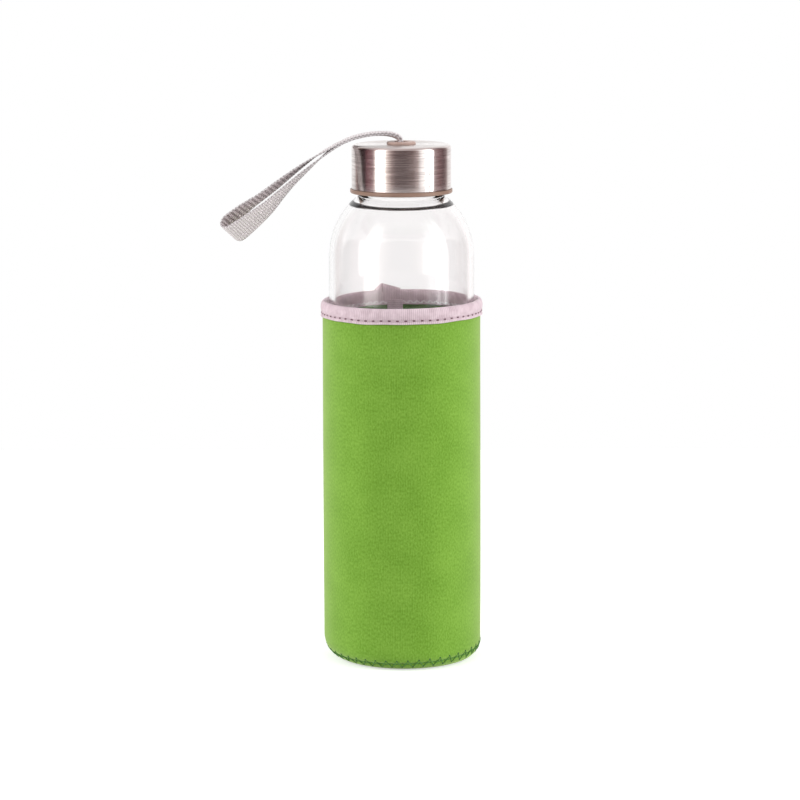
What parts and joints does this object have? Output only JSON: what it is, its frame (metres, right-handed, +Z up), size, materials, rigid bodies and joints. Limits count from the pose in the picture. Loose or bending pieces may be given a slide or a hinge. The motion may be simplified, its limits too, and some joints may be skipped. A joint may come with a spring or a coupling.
{
  "type": "glass water bottle",
  "caption": "Cylindrical glass water bottle with a brushed steel screw cap, a webbing wrist strap and a neoprene sleeve with a bound edge.",
  "frame": {"origin": "middle of the sleeve's underside, where the bottle stands", "axes": "+Z up the bottle towards the cap, -X towards the loose end of the strap, -Y towards the front"},
  "size_m": [0.1089, 0.0676, 0.2215],
  "materials": {
    "glass": "clear, smooth moulded glass",
    "brushed_steel": "brushed round the axis",
    "liner_plastic": "satin moulded polypropylene",
    "seal_silicone": "matt moulded silicone",
    "plug_plastic": "satin moulded plastic",
    "webbing": "woven ribbed tape",
    "neoprene": "foam sheet faced with fine knitted jersey",
    "binding_tape": "fine ribbed woven tape"
  },
  "bodies": {
    "sleeve": {"sleeve_wall": "neoprene", "sleeve_base": "neoprene", "sleeve_binding": "binding_tape", "binding_tail": "binding_tape"},
    "bottle": {"glass_bottle": "glass"},
    "seal": {"cap_seal": "seal_silicone"},
    "plug": {"strap_plug": "plug_plastic"},
    "cap": {"cap_shell": "brushed_steel", "cap_liner": "liner_plastic"},
    "knot": {"strap_knot": "webbing"},
    "strap": {"strap": "webbing"}
  },
  "joints": [
    {"name": "bottle_pull_out", "type": "slide", "parent": "sleeve", "child": "bottle", "axis": [0, 0, 1], "range_m": [0, 0.16]},
    {"name": "cap_lift_off", "type": "slide", "parent": "bottle", "child": "seal", "axis": [0, 0, 1], "range_m": [0, 0.06]},
    {"name": "cap_rise", "type": "slide", "parent": "seal", "child": "plug", "axis": [0, 0, 1], "range_m": [0, 0.00563]},
    {"name": "cap_turn", "type": "hinge", "parent": "plug", "child": "cap", "pos_m": [0, 0, 0.2], "axis": [0, 0, 1], "range_deg": [0, 450]},
    {"name": "strap_swivel", "type": "hinge", "parent": "plug", "child": "knot", "pos_m": [0, 0, 0.218], "axis": [0, 0, 1], "continuous": true},
    {"name": "strap_swing", "type": "hinge", "parent": "knot", "child": "strap", "pos_m": [0, 0, 0.2191], "axis": [0, 1, 0], "range_deg": [0, 75]}
  ],
  "couplings": [
    {"joint": "cap_rise", "follows": "cap_turn", "m_per_rad": 0.0007162}
  ]
}
